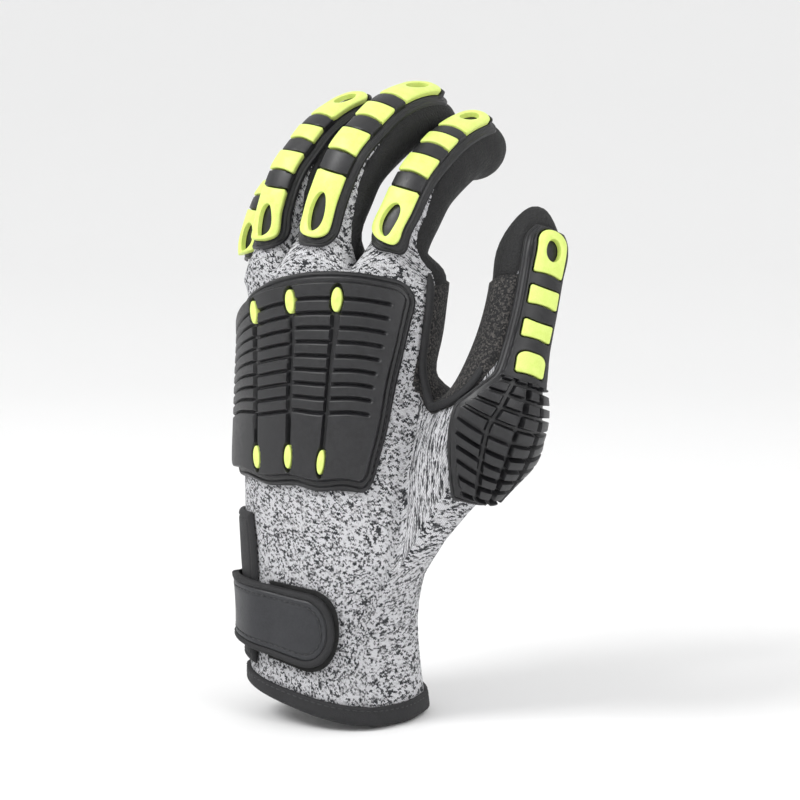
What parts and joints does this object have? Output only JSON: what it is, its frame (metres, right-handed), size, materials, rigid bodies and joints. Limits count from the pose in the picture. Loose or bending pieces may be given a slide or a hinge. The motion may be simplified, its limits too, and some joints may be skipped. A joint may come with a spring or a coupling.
{
  "type": "impact glove",
  "caption": "Left-hand impact glove: grey melange knit, black sandy palm dip, ribbed back and thumb guards with bright inlays, bound cuff with hook-and-loop strap.",
  "frame": {"origin": "centre of the cuff's mouth, where the wrist enters", "axes": "+Z from the cuff to the fingers, -Y out of the back of the hand, +X towards the thumb"},
  "size_m": [0.1435, 0.0955, 0.2343],
  "materials": {
    "knit": "grey and white melange knit",
    "coating": "sandy matte dip",
    "patch": "flecked dark cloth",
    "guard_rubber": "satin moulded rubber",
    "bright_rubber": "satin yellow-green rubber",
    "tape": "black woven binding",
    "leather": "smooth black synthetic leather",
    "hook": "black hook tape"
  },
  "bodies": {
    "root": {"knit_liner": "knit", "palm_coating": "coating", "web_patch": "patch", "cuff_binding": "tape", "back_guard": "guard_rubber", "thumb_guard": "guard_rubber", "strap_base": "tape", "strap_tab": "leather", "strap_binding": "tape", "hook_pad": "hook", "back_inlay_1": "bright_rubber", "back_inlay_2": "bright_rubber", "back_inlay_3": "bright_rubber", "back_inlay_4": "bright_rubber", "back_inlay_5": "bright_rubber", "back_inlay_6": "bright_rubber", "little_guard": "guard_rubber", "little_loop": "bright_rubber", "little_block_1": "bright_rubber", "little_block_2": "bright_rubber", "little_tip_loop": "bright_rubber", "ring_guard": "guard_rubber", "ring_loop": "bright_rubber", "ring_block_1": "bright_rubber", "ring_block_2": "bright_rubber", "ring_tip_loop": "bright_rubber", "middle_guard": "guard_rubber", "middle_loop": "bright_rubber", "middle_block_1": "bright_rubber", "middle_block_2": "bright_rubber", "middle_tip_loop": "bright_rubber", "index_guard": "guard_rubber", "index_loop": "bright_rubber", "index_block_1": "bright_rubber", "index_block_2": "bright_rubber", "index_tip_loop": "bright_rubber", "thumb_block_1": "bright_rubber", "thumb_block_2": "bright_rubber", "thumb_block_3": "bright_rubber", "thumb_tip_loop": "bright_rubber"}
  },
  "joints": []
}
